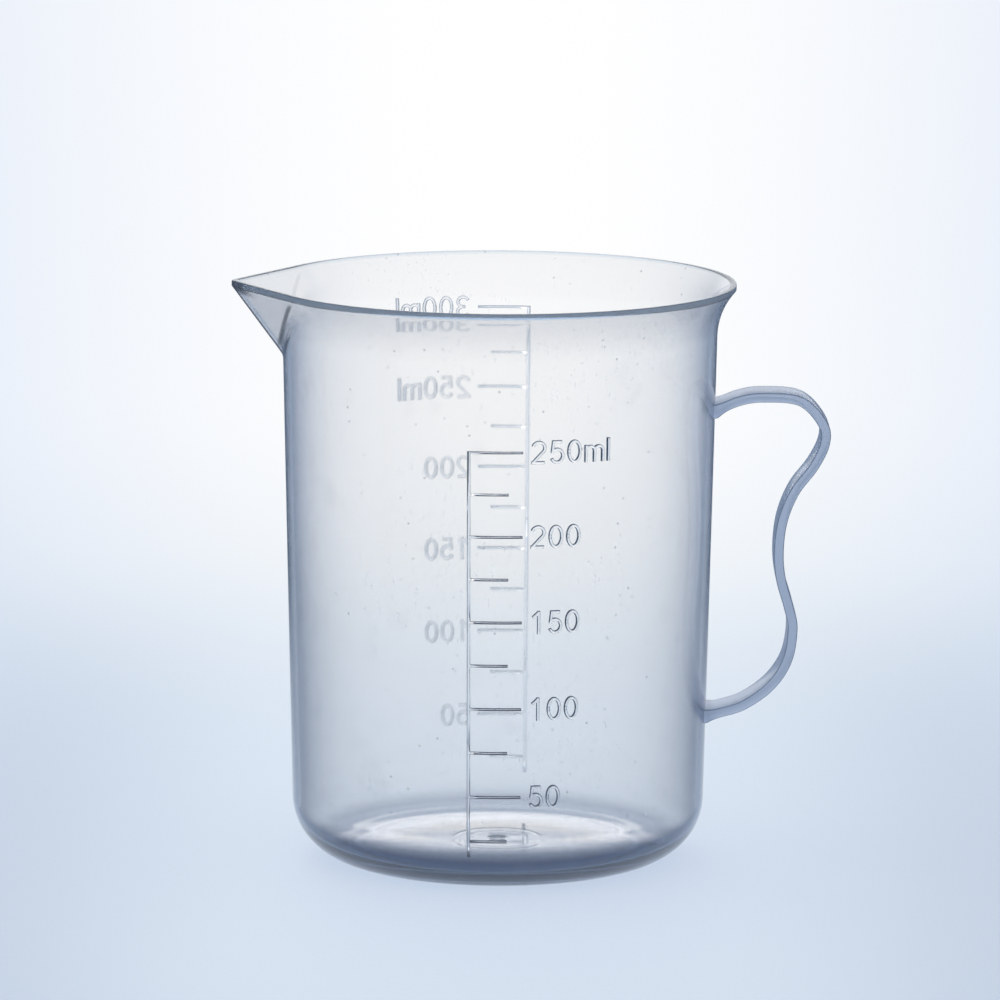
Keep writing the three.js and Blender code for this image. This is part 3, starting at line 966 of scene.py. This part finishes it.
rule_finish = mark_plastic("raised_clear_rules", rule_shade, rule_lines)
number_finish = mark_plastic("raised_clear_numbers", number_shade, number_lines)


def dress(piece, finish, node):
    piece.data.materials.append(finish)
    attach(piece, "root")
    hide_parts(node)


dress(make_vessel(), wall_finish, "cup_body")
dress(make_handle(), strap_finish, "handle")
for mark in sorted(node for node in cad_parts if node.startswith(("front_", "back_"))):
    _, value, kind = mark.split("_")[:3]
    if value == "scale":
        dress(make_rule(mark), rule_finish, mark)
    else:
        character = value[int(mark[-1]) - 1] if kind == "digit" else mark[-1]
        dress(make_character(mark, character), number_finish, mark)


# Floor, light and camera
FLOOR_HALF_WIDTH = 5000
LAMP_AIM = Vector((0, 0, 0.05))
CAMERA_PLACE = (0.00013, -1.0984, 0.24678)
CAMERA_PITCH = 0.169
CAMERA_ROLL = 0.005
CAMERA_LENS = 243.65
CAMERA_SENSOR = 36


def make_floor():
    bm = bmesh.new()
    bmesh.ops.create_grid(bm, x_segments=8, y_segments=8, size=FLOOR_HALF_WIDTH)
    floor = finished(bm, "floor")
    floor.data.materials.append(floor_finish())


def soft_lamp(name, place, size, power):
    lamp = bpy.data.lights.new(name, "AREA")
    lamp.shape = "RECTANGLE"
    lamp.size, lamp.size_y = size
    lamp.energy = power
    holder = bpy.data.objects.new(name, lamp)
    holder.location = place
    holder.rotation_euler = (LAMP_AIM - holder.location).to_track_quat("-Z", "Y").to_euler()
    holder.visible_glossy = False
    holder.visible_transmission = False
    bpy.context.collection.objects.link(holder)


def make_sky():
    world = bpy.data.worlds.new("soft_room")
    bpy.context.scene.world = world
    world.use_nodes = True
    world.node_tree.nodes.clear()
    paint = Wire(world.node_tree)
    _, ahead, up = paint.add("ShaderNodeTexCoord", output="Generated").axes()
    back = ahead.rise(*BACKDROP_FADE)
    room_tone = up.rise(*ROOM_FADE).blend(ROOM_LOW, ROOM_HIGH)
    tone = back.blend(room_tone, BACKDROP)
    light = paint.add("ShaderNodeBackground", sockets={"Color": tone, "Strength": 1.0})

    # Through the plastic the room looks cooler, and the bright backdrop stands low
    through_tone = ahead.rise(*LOW_BACKDROP_FADE).blend(ROOM_THROUGH, BACKDROP_THROUGH)
    through = paint.add("ShaderNodeBackground", sockets={"Color": through_tone, "Strength": 1.0})
    plastic = paint.ray("Is Transmission Ray")
    light = paint.add("ShaderNodeMixShader", sockets={0: plastic, 1: light, 2: through})

    shine_tone = back.blend(DARK_REFLECTION_TONE, BACKDROP_SHINE)
    dim = paint.add("ShaderNodeBackground", sockets={"Color": shine_tone, "Strength": 1.0})
    room = paint.add("ShaderNodeMixShader", sockets={0: shine_rays(paint), 1: light, 2: dim})
    paint.add("ShaderNodeOutputWorld", sockets={"Surface": room})


def make_camera():
    data = bpy.data.cameras.new("camera")
    data.sensor_width = CAMERA_SENSOR
    data.lens = CAMERA_LENS
    data.clip_start = 0.01
    camera = bpy.data.objects.new("camera", data)
    pitch = Matrix.Rotation(math.pi / 2 - CAMERA_PITCH, 4, "X")
    camera.matrix_world = Matrix.Translation(CAMERA_PLACE) @ pitch @ Matrix.Rotation(CAMERA_ROLL, 4, "Z")
    bpy.context.collection.objects.link(camera)
    bpy.context.scene.camera = camera


make_floor()
make_sky()
soft_lamp("soft_top", (-0.3, 0.3, 1.7), (2.0, 2.0), 10)
soft_lamp("soft_back", (-0.3, 1.2, 1.0), (0.8, 0.5), 5)
make_camera()
bpy.context.scene.view_settings.view_transform = "Standard"
